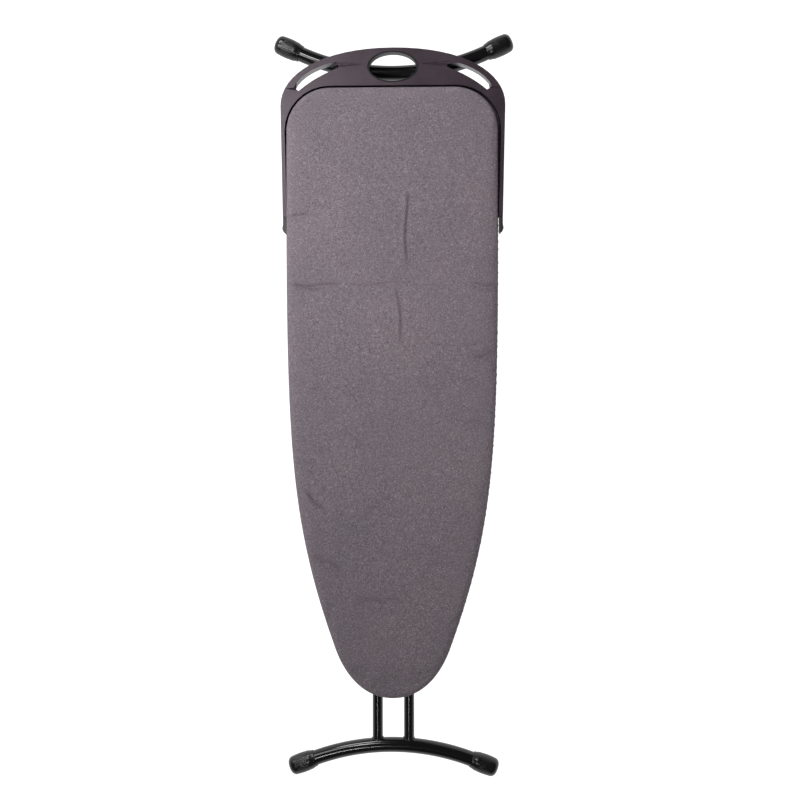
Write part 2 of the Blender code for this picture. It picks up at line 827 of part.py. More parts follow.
def make_lever_pin(y):
    place = (y - 0.032, PIVOT_Z - 0.003)
    return rod("lever_pin", 0.0024, (-0.0195, *place), (0.0195, *place), "zinc", sides=12)


def make_lever(y):
    """The pressed lever: a pawl tooth behind its pin and a long arm towards the nose."""
    pin_y = y - 0.032
    pin_z = PIVOT_Z - 0.003
    loop = [
        (pin_y + 0.021, pin_z - 0.003), (pin_y + 0.020, pin_z + 0.0079), (pin_y + 0.014, pin_z + 0.0079),
        (pin_y + 0.008, pin_z + 0.0045), (pin_y - 0.006, pin_z + 0.0045), (pin_y - 0.050, pin_z - 0.006),
        (pin_y - 0.050, pin_z - 0.010), (pin_y - 0.006, pin_z - 0.005), (pin_y + 0.012, pin_z - 0.006),
    ]
    lever = side_plate("release_lever", loop, -0.0060, 0.0060, "steel")
    hole = rod("lever_hole", 0.0027, (-0.02, pin_y, pin_z), (0.02, pin_y, pin_z), sides=12)
    return cut(lever, hole)


def make_lever_grip(y):
    pin_y = y - 0.032
    pin_z = PIVOT_Z - 0.003
    low = (-0.013, pin_y - 0.068, pin_z - 0.0125)
    high = (0.013, pin_y - 0.030, pin_z - 0.0015)
    grip = box("lever_grip", low, high, "black_plastic")
    soften = grip.modifiers.new("soften", "BEVEL")
    soften.width = 0.003
    soften.segments = 2
    socket = side_plate(
        "grip_socket",
        [
            (pin_y - 0.0503, pin_z - 0.0056),
            (pin_y - 0.0503, pin_z - 0.0104),
            (pin_y - 0.006, pin_z - 0.0054),
            (pin_y - 0.006, pin_z + 0.0051),
        ],
        -0.0063,
        0.0063,
    )
    return cut(grip, socket)


def make_lever_spring(y):
    """A torsion spring round the lever's pin."""
    centre = Vector((0.0085, y - 0.032, PIVOT_Z - 0.003))
    radius = 0.0038
    turns = 4
    steps = 12
    points = []
    for i in range(turns * steps + 1):
        angle = 2 * math.pi * i / steps
        points.append(
            centre + Vector((0.0012 * i / steps, radius * math.cos(angle), radius * math.sin(angle)))
        )
    return path_curve("lever_spring", points, 0.00045, "zinc", rings=1)


def mirror_names(base):
    return ((base + "_right", 1), (base + "_left", -1))


def build_board(body):
    made = [make_panel(), make_rim(), make_pad(), make_cover(), make_hinge_axle(), make_rack()]
    made += make_axle_nuts()
    made += [make_rail(name, side) for name, side in mirror_names("slide_rail")]
    made += [make_hinge_bracket(name, side) for name, side in mirror_names("hinge_bracket")]
    made.append(make_brace("front_brace", 0.500, 0.190, 0.0060))
    made.append(make_brace("middle_brace", 0.860, 0.203, 0.0060))
    made.append(make_brace("rear_brace", REAR_BRACE_Y, 0.182, 0.0240))
    made += [make_tail_frame(), make_handle_ring()]
    made += [make_arm_clip(name, side) for name, side in mirror_names("arm_clip")]
    made += [make_frame_bracket(name, side) for name, side in mirror_names("frame_bracket")]
    screw_z = FRAME_TOP_Z - FRAME_DEPTH - BRACKET_CLEARANCE - BRACKET_THICKNESS - GAP
    for i, x in enumerate((-0.158, -0.142, 0.142, 0.158)):
        made.append(make_frame_screw(f"frame_screw_{i + 1}", x, 1.241, screw_z))
    for obj in made:
        hang(obj, body)


def build_leg(body, front):
    word = "front" if front else "rear"
    x = FRONT_LEG_X if front else REAR_LEG_X
    made = [make_foot_tube(word + "_foot_tube", front)]
    made += [make_leg_tube(name, side * x, front) for name, side in mirror_names(word + "_leg_tube")]
    made += [make_foot_cap(name, front, side) for name, side in mirror_names(word + "_foot_cap")]
    if front:
        made.append(make_leg_brace("front_leg_brace", x, 0.800, True, 0.0080))
        made += make_hinge_spacers()
    else:
        made.append(make_leg_brace("rear_leg_brace", x, 1.080, False, 0.0090))
        made += make_scissor_bolts() + make_scissor_nuts() + make_scissor_spacers()
    for obj in made:
        hang(obj, body)


def build_carriage(body, y):
    made = [make_slide_bar(y), make_yoke(y), make_lever_pin(y), make_lever_spring(y)] + make_bar_spacers(y)
    made += [make_shoe(name, side, y) for name, side in mirror_names("slide_shoe")]
    for obj in made:
        hang(obj, body)


def build_lever(body, y):
    for obj in (make_lever(y), make_lever_grip(y)):
        hang(obj, body)


def centre_on_base(root):
    """Moves the whole object so that the origin is the middle of its base."""
    bpy.context.view_layer.update()
    graph = bpy.context.evaluated_depsgraph_get()
    corners = []
    for obj in PARTS.objects:
        if obj.type != "EMPTY":
            solid = obj.evaluated_get(graph)
            corners += [solid.matrix_world @ vertex.co for vertex in solid.to_mesh().vertices]
            solid.to_mesh_clear()
    low = [min(c[i] for c in corners) for i in range(3)]
    high = [max(c[i] for c in corners) for i in range(3)]
    root.location = (-(low[0] + high[0]) / 2, -(low[1] + high[1]) / 2, -low[2])


def build():
    root = empty(NAME + "_origin", (0, 0, 0))
    board = empty("board_origin", (0, 0, 0), root)
    front_leg = empty("front_leg_axis", leg_point(0, 0, True), board)
    rear_leg = empty("rear_leg_axis", leg_point(0, UPPER_LENGTH, True), front_leg)
    slide = leg_point(0, 0, False)
    carriage = empty("carriage_axis", slide, rear_leg)
    lever = empty("lever_axis", slide + Vector((0, -0.032, -0.003)), carriage)
    build_board(board)
    build_leg(front_leg, True)
    build_leg(rear_leg, False)
    build_carriage(carriage, slide.y)
    build_lever(lever, slide.y)
    centre_on_base(root)


clear_scene()
PARTS = new_collection(NAME)
CUTTERS = new_collection("cutters")
build()
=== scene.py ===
import json
import math
import random

import bmesh
import bpy
import numpy as np
from mathutils import Matrix, Vector, noise
from mathutils.bvhtree import BVHTree
from mathutils.geometry import interpolate_bezier


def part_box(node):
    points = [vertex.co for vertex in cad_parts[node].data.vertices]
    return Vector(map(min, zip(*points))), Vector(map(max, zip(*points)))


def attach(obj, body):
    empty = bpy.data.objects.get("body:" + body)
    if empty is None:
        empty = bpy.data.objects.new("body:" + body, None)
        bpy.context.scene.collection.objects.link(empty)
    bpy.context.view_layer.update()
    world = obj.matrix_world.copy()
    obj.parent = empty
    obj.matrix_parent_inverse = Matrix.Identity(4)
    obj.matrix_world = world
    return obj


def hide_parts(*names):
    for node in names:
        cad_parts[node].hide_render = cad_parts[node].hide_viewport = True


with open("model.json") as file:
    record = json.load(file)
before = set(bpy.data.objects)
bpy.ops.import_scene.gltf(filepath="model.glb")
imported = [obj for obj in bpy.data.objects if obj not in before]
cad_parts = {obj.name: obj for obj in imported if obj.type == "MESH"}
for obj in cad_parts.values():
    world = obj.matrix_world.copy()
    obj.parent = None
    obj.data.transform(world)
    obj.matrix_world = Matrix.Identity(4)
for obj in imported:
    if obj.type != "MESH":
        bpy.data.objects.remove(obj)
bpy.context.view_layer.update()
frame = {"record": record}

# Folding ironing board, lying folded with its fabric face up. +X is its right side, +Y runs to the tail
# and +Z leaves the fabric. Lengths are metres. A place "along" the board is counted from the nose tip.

RECORD = frame["record"]
BODY_OF = {node: body for body, nodes in RECORD["behaviour"]["bodies"].items() for node in nodes}
JOINTS = {joint["name"]: joint for joint in RECORD["behaviour"]["joints"]}
TAU = 2 * math.pi

# Where the CAD put things.
COVER_LOW, COVER_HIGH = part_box("cover")
PAD_LOW, PAD_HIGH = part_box("foam_pad")
FRAME_LOW, FRAME_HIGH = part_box("tail_frame")
NOSE_Y = COVER_LOW[1]
PANEL_TOP = PAD_LOW[2] - 0.0003

# Board outline, as the CAD drives it.
NOSE_HANDLE = 0.082
SHOULDER = (0.121, 0.104)
SHOULDER_SLOPE = 0.36
SHOULDER_IN = 0.020
SHOULDER_OUT = 0.261
HALF_WIDTH = 0.222
SIDE_Y = 0.966
SIDE_HANDLE = 0.465
TAIL_Y = 1.288
TAIL_RADIUS = 0.092

# Legs and feet, as the CAD drives them.
FOLDED_ANGLE = math.radians(1.5)
LEG_RADIUS = 0.011
LEG_X = {"front": 0.0335, "rear": 0.0600}
LEG_LENGTH = {"front": 1.207, "rear": 1.190}
FOOT_RADIUS = 0.016
FOOT_ARC_RADIUS = 0.480
FOOT_END_LENGTH = 0.058
FOOT_SWEEP = {"front": math.radians(20.4), "rear": math.radians(24.5)}
CAP_RADIUS = 0.021
CAP_LENGTH = 0.058
OPEN_ANGLE = math.radians(46.5)

GRIP_ALONG = 1.331
GRIP_HALF = (0.0540, 0.0330)

# Fabric.
PAD_INSET = 0.0130
COVER_SEAT = -0.0015
COVER_SEAT_SLOPE = 0.0068
GATHER_HEIGHT = 0.0011
GATHER_REST = 0.80
COVER_POINTS = 560
COVER_RINGS = 36
EDGE_RADIUS = 0.0095
HEM_RADIUS = 0.0035
HEM_REACH = 0.0190
CLOTH_FRAMES = 20
CLOTH_CAP = 0.0030
LOOSE_FADE = 0.0050


def along(y):
    return NOSE_Y + y


# Materials ----------------------------------------------------------------------------------------


class Look:
    """A small helper that builds one node material."""

    def __init__(self, name, colour, roughness, metallic=0.0):
        self.material = bpy.data.materials.new(name)
        self.material.use_nodes = True
        self.tree = self.material.node_tree
        self.shader = self.tree.nodes["Principled BSDF"]
        self.set("Base Color", (*colour, 1.0))
        self.set("Roughness", roughness)
        self.set("Metallic", metallic)
        self.coordinates = self.add("ShaderNodeTexCoord").outputs["Object"]
        self.bump_socket = None

    def add(self, kind):
        return self.tree.nodes.new(kind)

    def set(self, socket, value):
        self.shader.inputs[socket].default_value = value

    def link(self, source, target):
        self.tree.links.new(source, target)

    def stretched(self, scale):
        mapping = self.add("ShaderNodeMapping")
        mapping.inputs["Scale"].default_value = scale
        self.link(self.coordinates, mapping.inputs["Vector"])
        return mapping.outputs["Vector"]

    def noise(self, scale, detail=2.0, roughness=0.5, vector=None):
        node = self.add("ShaderNodeTexNoise")
        node.inputs["Scale"].default_value = scale
        node.inputs["Detail"].default_value = detail
        node.inputs["Roughness"].default_value = roughness
        self.link(vector or self.coordinates, node.inputs["Vector"])
        return node.outputs["Fac"]

    def wave(self, scale, direction, distortion):
        node = self.add("ShaderNodeTexWave")
        node.bands_direction = direction
        node.inputs["Scale"].default_value = scale
        node.inputs["Distortion"].default_value = distortion
        node.inputs["Detail Scale"].default_value = 2.0
        self.link(self.coordinates, node.inputs["Vector"])
        return node.outputs["Fac"]

    def voronoi(self, scale):
        node = self.add("ShaderNodeTexVoronoi")
        node.inputs["Scale"].default_value = scale
        self.link(self.coordinates, node.inputs["Vector"])
        return node.outputs["Distance"]

    def ramp(self, source, stops):
        node = self.add("ShaderNodeValToRGB")
        elements = node.color_ramp.elements
        while len(elements) < len(stops):
            elements.new(0.5)
        for element, (position, colour) in zip(elements, stops):
            element.position = position
            element.color = (*colour, 1.0)
        self.link(source, node.inputs["Fac"])
        return node.outputs["Color"]

    def mix(self, a, b, factor, kind="MIX"):
        """Mixes two colours; each value is a socket, a colour or a number."""
        node = self.add("ShaderNodeMix")
        node.data_type = "RGBA"
        node.blend_type = kind
        for value, socket in ((factor, 0), (a, 6), (b, 7)):
            target = node.inputs[socket]
            if hasattr(value, "links"):
                self.link(value, target)
            elif isinstance(value, tuple):
                target.default_value = (*value, 1.0)
            else:
                target.default_value = value
        return node.outputs[2]

    def math(self, kind, a, b):
        node = self.add("ShaderNodeMath")
        node.operation = kind
        for value, target in zip((a, b), node.inputs):
            if hasattr(value, "links"):
                self.link(value, target)
            else:
                target.default_value = value
        return node.outputs[0]

    def spread(self, source, low, high):
        node = self.add("ShaderNodeMapRange")
        node.inputs["To Min"].default_value = low
        node.inputs["To Max"].default_value = high
        self.link(source, node.inputs["Value"])
        return node.outputs["Result"]

    def colour(self, source):
        self.link(source, self.shader.inputs["Base Color"])

    def rough(self, source, low, high):
        self.link(self.spread(source, low, high), self.shader.inputs["Roughness"])

    def bump(self, source, distance, strength=1.0):
        node = self.add("ShaderNodeBump")
        node.inputs["Strength"].default_value = strength
        node.inputs["Distance"].default_value = distance
        self.link(source, node.inputs["Height"])
        if self.bump_socket is not None:
            self.link(self.bump_socket, node.inputs["Normal"])
        self.bump_socket = node.outputs["Normal"]
        self.link(self.bump_socket, self.shader.inputs["Normal"])


def fabric_look():
    """Heather weave: a mauve brown-grey ground with short lighter and darker flecks in warp and weft, and
    painted shade that darkens the folds' grooves.
    """
    look = Look("heather_fabric", (0.20, 0.165, 0.182), 0.86)
    look.set("Specular IOR Level", 0.15)
    weft = look.noise(1.0, 2.0, 0.6, look.stretched((260.0, 900.0, 500.0)))
    warp = look.noise(1.0, 2.0, 0.6, look.stretched((900.0, 260.0, 500.0)))
    grain = look.math("ADD", look.math("MULTIPLY", weft, 0.5), look.math("MULTIPLY", warp, 0.5))
    ground = look.ramp(
        grain,
        [(0.33, (0.074, 0.060, 0.070)), (0.45, (0.145, 0.121, 0.137)), (0.54, (0.189, 0.163, 0.181)),
         (0.69, (0.370, 0.340, 0.365))],
    )
    broad = look.noise(7.0, 3.0, 0.55)
    tint = look.ramp(broad, [(0.3, (0.93, 0.93, 0.95)), (0.7, (1.05, 1.03, 1.03))])
    toned = look.mix(ground, tint, 1.0, "MULTIPLY")
    # Painted shade: the colour is pulled towards a dark brown-grey where the fold_shade attribute marks a
    # fold's groove, standing in for the shadow there.
    groove = look.add("ShaderNodeAttribute")
    groove.attribute_name = "fold_shade"
    depth = look.math("MULTIPLY", groove.outputs["Fac"], 0.55)
    look.colour(look.mix(toned, (0.045, 0.034, 0.037), depth))
    threads_x = look.wave(130.0, "X", 0.6)
    threads_y = look.wave(130.0, "Y", 0.6)
    weave = look.math("MULTIPLY", threads_x, threads_y)
    look.bump(weave, 0.00018, 0.5)
    look.bump(grain, 0.0003, 0.4)
    look.rough(grain, 0.82, 0.97)
    return look.material


def felt_look():
    look = Look("pad_felt", (0.62, 0.60, 0.56), 0.95)
    fibres = look.noise(420.0, 4.0, 0.7)
    look.colour(look.ramp(fibres, [(0.3, (0.46, 0.45, 0.42)), (0.7, (0.72, 0.70, 0.66))]))
    look.bump(fibres, 0.0006, 0.6)
    return look.material


def moulded_look(name, dark, light, roughness, grain=0.00010, tint=(1.0, 1.0, 1.0)):
    """Injection-moulded plastic with a fine spark-eroded grain and a faintly uneven gloss."""
    look = Look(name, light, roughness)
    fine = look.noise(1600.0, 2.0, 0.6)
    broad = look.noise(14.0, 3.0, 0.6)
    look.colour(look.ramp(broad, [(0.3, dark), (0.7, light)]))
    look.set("Specular Tint", (*tint, 1.0))
    uneven = look.math("ADD", look.math("MULTIPLY", fine, 0.5), look.math("MULTIPLY", broad, 0.5))
    look.rough(uneven, roughness - 0.10, roughness + 0.14)
    look.bump(fine, grain, 0.5)
    return look.material


def powder_coat_look(name, dark, light, low, high):
    """Powder coat: an even colour with the shallow orange peel of a baked finish."""
    look = Look(name, light, low)
    peel = look.noise(330.0, 1.5, 0.5)
    broad = look.noise(9.0, 3.0, 0.6)
    look.colour(look.ramp(broad, [(0.35, dark), (0.65, light)]))
    look.rough(broad, low, high)
    look.bump(peel, 0.00012, 0.25)
    return look.material


def zinc_look():
    look = Look("zinc_plate", (0.62, 0.62, 0.60), 0.3, 1.0)
    spangle = look.voronoi(260.0)
    scratches = look.noise(1.0, 3.0, 0.7, look.stretched((2200.0, 120.0, 120.0)))
    look.colour(look.ramp(spangle, [(0.2, (0.50, 0.51, 0.52)), (0.8, (0.74, 0.74, 0.72))]))
    look.rough(scratches, 0.22, 0.42)
    look.bump(scratches, 0.00004, 0.4)
    return look.material


LOOKS = {
    "fabric": fabric_look(),
    "felt": felt_look(),
    "moulding": moulded_look(
        "tail_moulding", (0.020, 0.012, 0.017), (0.034, 0.024, 0.031), 0.30, tint=(0.86, 0.75, 0.83)
    ),
    "black_plastic": moulded_look("black_plastic", (0.008, 0.008, 0.009), (0.013, 0.012, 0.013), 0.42),
    "black_tube": powder_coat_look(
        "black_gloss_tube", (0.0012, 0.0012, 0.0015), (0.0022, 0.0021, 0.0025), 0.10, 0.15
    ),
    "cap_plastic": moulded_look(
        "cap_plastic", (0.0020, 0.0019, 0.0022), (0.0035, 0.0033, 0.0036), 0.24, grain=0.00005
    ),
    "steel": powder_coat_look("grey_powder_coat", (0.30, 0.30, 0.31), (0.36, 0.36, 0.37), 0.38, 0.52),
    "zinc": zinc_look(),
    "black_tape": moulded_look(
        "elastic_tape", (0.010, 0.009, 0.010), (0.020, 0.018, 0.020), 0.8, grain=0.0004
    ),
}
CAD_LOOK = {
    "fabric": "fabric", "foam": "felt", "steel": "steel", "black_tube": "black_tube",
    "black_plastic": "black_plastic", "frame_plastic": "moulding", "zinc": "zinc",
}
SLOT_OF = {entry["node"]: entry["material_slot"] for entry in RECORD["subparts"]}


# Mesh helpers -------------------------------------------------------------------------------------


def new_object(name, data, look, body):
    obj = bpy.data.objects.new(name, data)
    bpy.context.scene.collection.objects.link(obj)
    data.materials.clear()
    data.materials.append(LOOKS[look])
    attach(obj, body)
    return obj


def mesh_from(name, vertices, faces, merge=0.0):
    data = bpy.data.meshes.new(name)
    data.from_pydata([tuple(v) for v in vertices], [], faces)
    if merge:
        tidy = bmesh.new()
        tidy.from_mesh(data)
        bmesh.ops.remove_doubles(tidy, verts=tidy.verts, dist=merge)
        bmesh.ops.recalc_face_normals(tidy, faces=tidy.faces)
        tidy.to_mesh(data)
        tidy.free()
    return data


def smooth(obj, degrees=35):
    obj.data.shade_smooth()
    obj.data.set_sharp_from_angle(angle=math.radians(degrees))
    return obj


def grid_faces(rows, columns, close_rows=False, close_columns=False):
    """Quads over a grid of points stored row by row."""
    faces = []
    for r in range(rows if close_rows else rows - 1):
        for c in range(columns if close_columns else columns - 1):
            r2 = (r + 1) % rows
            c2 = (c + 1) % columns
            faces.append((r * columns + c, r * columns + c2, r2 * columns + c2, r2 * columns + c))
    return faces


def frame_along(direction):
    """Two unit vectors across a direction."""
    direction = Vector(direction).normalized()
    side = Vector((0, 0, 1)) if abs(direction.z) < 0.9 else Vector((0, 1, 0))
    first = direction.cross(side).normalized()
    return first, direction.cross(first).normalized()


def lathe(name, profile, start, axis, look, body, steps=64, ripple=None):
    """A turned piece from (radius, distance along the axis) pairs. ripple(angle, index) scales a radius."""
    axis = Vector(axis).normalized()
    first, second = frame_along(axis)
    points = []
    for i, (radius, distance) in enumerate(profile):
        for k in range(steps):
            angle = TAU * k / steps
            r = radius * (ripple(angle, i) if ripple else 1.0)
            spoke = first * math.cos(angle) + second * math.sin(angle)
            points.append(Vector(start) + axis * distance + spoke * r)
    data = mesh_from(name, points, grid_faces(len(profile), steps, close_columns=True), merge=0.000002)
    return smooth(new_object(name, data, look, body), 40)


def swept(name, path, radius, look, body, sides=28, closed=False, wobble=0.0, seed=0):
    """A round bar along a path, with filled ends when it is open."""
    rng = random.Random(seed)
    rows = []
    count = len(path)
    side = None
    for i, point in enumerate(path):
        before = Vector(path[i - 1] if closed or i else path[0])
        after = Vector(path[(i + 1) % count] if closed or i < count - 1 else path[-1])
        direction = (after - before).normalized()
        if side is None:
            side = frame_along(direction)[0]
        else:
            side = (side - direction * side.dot(direction)).normalized()
        other = direction.cross(side)
        r = radius * (1 + wobble * (rng.random() - 0.5))
        for k in range(sides):
            angle = TAU * k / sides
            rows.append(Vector(point) + (side * math.cos(angle) + other * math.sin(angle)) * r)
    faces = grid_faces(count, sides, close_rows=closed, close_columns=True)
    if not closed:
        faces.append(tuple(reversed(range(sides))))
        faces.append(tuple(range((count - 1) * sides, count * sides)))
    data = mesh_from(name, rows, faces)
    tidy = bmesh.new()
    tidy.from_mesh(data)
    bmesh.ops.recalc_face_normals(tidy, faces=tidy.faces)
    tidy.to_mesh(data)
    tidy.free()
    return smooth(new_object(name, data, look, body), 50)


FLAT_NORMAL = 0.999


def refine(node, width, whole=True):
    """A finished copy of a CAD piece: flat faces made whole, edges rounded and round walls smooth.

    A flat face with holes in it isn't made whole, because that would close the holes."""
    source = bpy.data.objects[node]
    data = source.data.copy()
    shape = bmesh.new()
    shape.from_mesh(data)
    bmesh.ops.remove_doubles(shape, verts=shape.verts, dist=0.000005)
    if whole:
        bmesh.ops.dissolve_limit(
            shape, angle_limit=math.radians(0.6), verts=shape.verts, edges=shape.edges, delimit={"NORMAL"}
        )
    shape.to_mesh(data)
    shape.free()
    slot = SLOT_OF[node]
    obj = new_object(node + "_fine", data, CAD_LOOK[slot], BODY_OF[node])
    rounding = obj.modifiers.new("rounding", "BEVEL")
    rounding.width = width
    rounding.segments = 2
    rounding.limit_method = "ANGLE"
    rounding.angle_limit = math.radians(38)
    rounding.use_clamp_overlap = True
    smooth(obj, 40)
    if not whole:
        for face in data.polygons:
            face.use_smooth = abs(face.normal.z) < FLAT_NORMAL
    shading = obj.modifiers.new("shading", "WEIGHTED_NORMAL")
    shading.weight = 100
    shading.keep_sharp = True
    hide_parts(node)
    return obj


# Board outline ------------------------------------------------------------------------------------


def board_half():
    """The cover's right edge from the nose tip to the middle of the tail, as (x, along)."""
    slope = Vector((SHOULDER_SLOPE, 1.0)).normalized()
    nose = Vector((0, 0))
    shoulder = Vector(SHOULDER)
    side = Vector((HALF_WIDTH, SIDE_Y))
    points = interpolate_bezier(
        nose, nose + Vector((NOSE_HANDLE, 0)), shoulder - slope * SHOULDER_IN, shoulder, 60
    )
    points += interpolate_bezier(
        shoulder, shoulder + slope * SHOULDER_OUT, side - Vector((0, SIDE_HANDLE)), side, 120
    )[1:]
    centre = Vector((HALF_WIDTH - TAIL_RADIUS, TAIL_Y - TAIL_RADIUS))
    for i in range(1, 41):
        turn = math.radians(90 * i / 40)
        points.append(centre + TAIL_RADIUS * Vector((math.cos(turn), math.sin(turn))))
    points.append(Vector((0, TAIL_Y)))
    return np.array([(p.x, p.y) for p in points])


def even_outline(count):
    """The whole outline as evenly spaced points, anticlockwise from the nose tip, with inward normals."""
    half = board_half()
    steps = np.hypot(*np.diff(half, axis=0).T)
    length = np.concatenate([[0], np.cumsum(steps)])
    places = np.linspace(0, length[-1], count // 2 + 1)
    right = np.stack([np.interp(places, length, half[:, i]) for i in range(2)], axis=1)
    left = right[1:-1][::-1] * (-1, 1)
    loop = np.concatenate([right, left])
    tangent = np.roll(loop, -1, axis=0) - np.roll(loop, 1, axis=0)
    tangent /= np.hypot(*tangent.T)[:, None]
    for _ in range(3):
        tangent = (np.roll(tangent, 1, axis=0) + 2 * tangent + np.roll(tangent, -1, axis=0)) / 4
    tangent /= np.hypot(*tangent.T)[:, None]
    normal = np.stack([-tangent[:, 1], tangent[:, 0]], axis=1)
    return loop, normal, length[-1] * 2


OUTLINE, INWARD, PERIMETER = even_outline(COVER_POINTS)
SPINE_START = 0.125
SPINE_END = TAIL_Y - 0.190


def spine(loop):
    return np.stack([np.zeros(len(loop)), np.clip(loop[:, 1], SPINE_START, SPINE_END)], axis=1)


# Cover and pad ------------------------------------------------------------------------------------

MERGE = 0.000002


# The cover's top falls a little towards its edge, its skirt leans in, and its hem lies just above the lowest
# point of its box.
TOP_FALL = 0.0010
SKIRT_LEAN = 0.0002
HEM_LIFT = 0.0002


def cover_rings(top):
    """Rings of the cover's outer face from the middle of the top, round the edge, to the hem."""
    low = COVER_LOW[2]
    start = OUTLINE + INWARD * EDGE_RADIUS
    middle = spine(OUTLINE)
    rings = []
    for t in np.linspace(0, 1, COVER_RINGS):
        flat = middle + (start - middle) * t
        z = top - TOP_FALL * t**8
        rings.append(np.column_stack([flat, np.full(len(flat), z)]))
    for degrees in (18, 36, 54, 72, 90):
        a = math.radians(degrees)
        flat = OUTLINE + INWARD * (EDGE_RADIUS * (1 - math.sin(a)))
        z = top - TOP_FALL - EDGE_RADIUS * (1 - math.cos(a))
        rings.append(np.column_stack([flat, np.full(len(flat), z)]))
    high = top - TOP_FALL - EDGE_RADIUS
    for t in (0.33, 0.66, 1.0):
        flat = OUTLINE + INWARD * (SKIRT_LEAN * t)
        z = high + (low + HEM_RADIUS - high) * t
        rings.append(np.column_stack([flat, np.full(len(flat), z)]))
    for degrees in (45, 90):
        a = math.radians(degrees)
        flat = OUTLINE + INWARD * (SKIRT_LEAN + HEM_RADIUS * (1 - math.cos(a)))
        z = low + HEM_RADIUS * (1 - math.sin(a))
        rings.append(np.column_stack([flat, np.full(len(flat), z)]))
    for t in (0.5, 1.0):
        flat = OUTLINE + INWARD * (HEM_RADIUS + (HEM_REACH - HEM_RADIUS) * t)
        rings.append(np.column_stack([flat, np.full(len(flat), low + HEM_LIFT)]))
    return rings


def to_world(points):
    """From (x, along, z) to the shared frame, with the padding seated a little to the left at the tail."""
    moved = points.copy()
    moved[:, 0] += seat(points[:, 0], points[:, 1])
    moved[:, 1] += NOSE_Y
    return moved


def seat(x, y):
    """How far the padding sits to the side: more at its left edge than at its right."""
    return (COVER_SEAT + COVER_SEAT_SLOPE * x) * np.clip((y - 0.3) / 0.7, 0, 1)


def run_cloth(obj, pinned, pressure, cap, loose_above):
    """Puffs a closed mesh with the Cloth modifier and applies it.

    Each point stays within cap of its start, and those below loose_above stay where they are."""
    scene = bpy.context.scene
    group = obj.vertex_groups.new(name="pinned")
    group.add(pinned, 1.0, "REPLACE")
    cloth = obj.modifiers.new("puff", "CLOTH")
    settings = cloth.settings
    settings.quality = 4
    settings.mass = 0.25
    settings.tension_stiffness = 20
    settings.compression_stiffness = 20
    settings.shear_stiffness = 8
    settings.bending_stiffness = 0.6
    settings.use_pressure = True
    settings.uniform_pressure_force = pressure
    settings.shrink_min = -0.012
    settings.vertex_group_mass = "pinned"
    settings.effector_weights.gravity = 0.0
    cloth.point_cache.frame_start = 1
    cloth.point_cache.frame_end = CLOTH_FRAMES
    for number in range(1, CLOTH_FRAMES + 1):
        scene.frame_set(number)
    graph = bpy.context.evaluated_depsgraph_get()
    solved = obj.evaluated_get(graph)
    count = len(obj.data.vertices)
    start = np.empty(count * 3)
    obj.data.vertices.foreach_get("co", start)
    end = np.empty(count * 3)
    solved.data.vertices.foreach_get("co", end)
    move = (end - start).reshape(-1, 3)
    far = np.linalg.norm(move, axis=1)
    limit = cap * np.tanh(far / cap) / np.maximum(far, 1e-9)
    limit *= np.clip((start.reshape(-1, 3)[:, 2] - loose_above) / LOOSE_FADE, 0, 1)
    move[:, 2] = np.maximum(move[:, 2], 0)
    obj.modifiers.remove(cloth)
    obj.vertex_groups.clear()
    obj.data.vertices.foreach_set("co", (start.reshape(-1, 3) + move * limit[:, None]).ravel())
    scene.frame_set(1)


# Packing folds and pulls in the cover: (x, along) at each end, height and width.
FOLDS = [
    ((0.0264, 1.072), (0.0262, 0.905), 0.0011, 0.0045),
    ((0.0062, 0.878), (0.0150, 0.742), 0.0008, 0.0050),
    ((-0.2190, 0.868), (-0.1000, 0.8655), 0.0013, 0.0045),
    ((-0.2080, 0.8610), (-0.1480, 0.8590), 0.0010, 0.0042),
    ((-0.1050, 0.866), (0.0400, 0.868), 0.0006, 0.0060),
    ((0.1650, 0.8660), (0.2190, 0.8645), 0.0011, 0.0048),
    ((-0.2168, 1.0050), (-0.1720, 1.0205), 0.0010, 0.0060),
    ((0.1700, 0.7100), (0.2140, 0.7265), 0.0012, 0.0055),
    ((0.1480, 0.7335), (0.1960, 0.7430), 0.0006, 0.0080),
    ((0.1480, 0.5680), (0.1920, 0.5850), 0.0009, 0.0062),
    ((-0.1930, 0.4355), (-0.1470, 0.3920), 0.0011, 0.0060),
    ((-0.1720, 0.2995), (-0.1070, 0.2615), 0.0007, 0.0085),
    ((-0.0900, 0.1900), (0.0500, 0.2050), 0.0004, 0.0140),
]
FOLD_STRENGTH = 1.6
FOLD_WIDTH = 0.72
TALL_FOLD = 0.0012


def bell(across, middle, width):
    return np.exp(-(((across - middle) / width) ** 2))


def fold_height(flat):
    """The summed height of the folds at each (x, along) point, and how strongly painted shade darkens it in
    a fold's groove.
    """
    total = np.zeros(len(flat))
    shade = np.zeros(len(flat))
    for start, end, tall, wide in FOLDS:
        wide *= FOLD_WIDTH
        start = np.array(start)
        end = np.array(end)
        run = end - start
        length = np.hypot(*run)
        run = run / length
        offset = flat - start
        t = offset @ run / length
        bow = 0.0025 * np.sin(np.clip(t, 0, 1) * 7.0 + tall * 9000)
        across = offset @ np.array([-run[1], run[0]]) + bow
        ends = np.clip(t / 0.18, 0, 1) * np.clip((1 - t) / 0.22, 0, 1)
        ends = ends * ends * (3 - 2 * ends)
        ridge = bell(across, 0.0, wide) - 0.55 * bell(across, 1.9 * wide, 1.3 * wide)
        total += FOLD_STRENGTH * tall * ends * ridge
        # Painted shade mask: the groove beside each fold, where the cloth's colour is darkened.
        groove = bell(across, 1.3 * wide, 0.75 * wide)
        shade = np.maximum(shade, ends * groove * tall / TALL_FOLD)
    return total, np.clip(shade, 0, 1)


def soft_waves(flat):
    """Very shallow waves where the cloth lies loosely on its pad."""
    total = np.zeros(len(flat))
    for size, tall, seed in ((0.11, 0.00060, 3.1), (0.045, 0.00022, 9.7)):
        for i, (x, y) in enumerate(flat):
            total[i] += tall * noise.noise(Vector((x / size, y / size * 0.7, seed)))
    return total


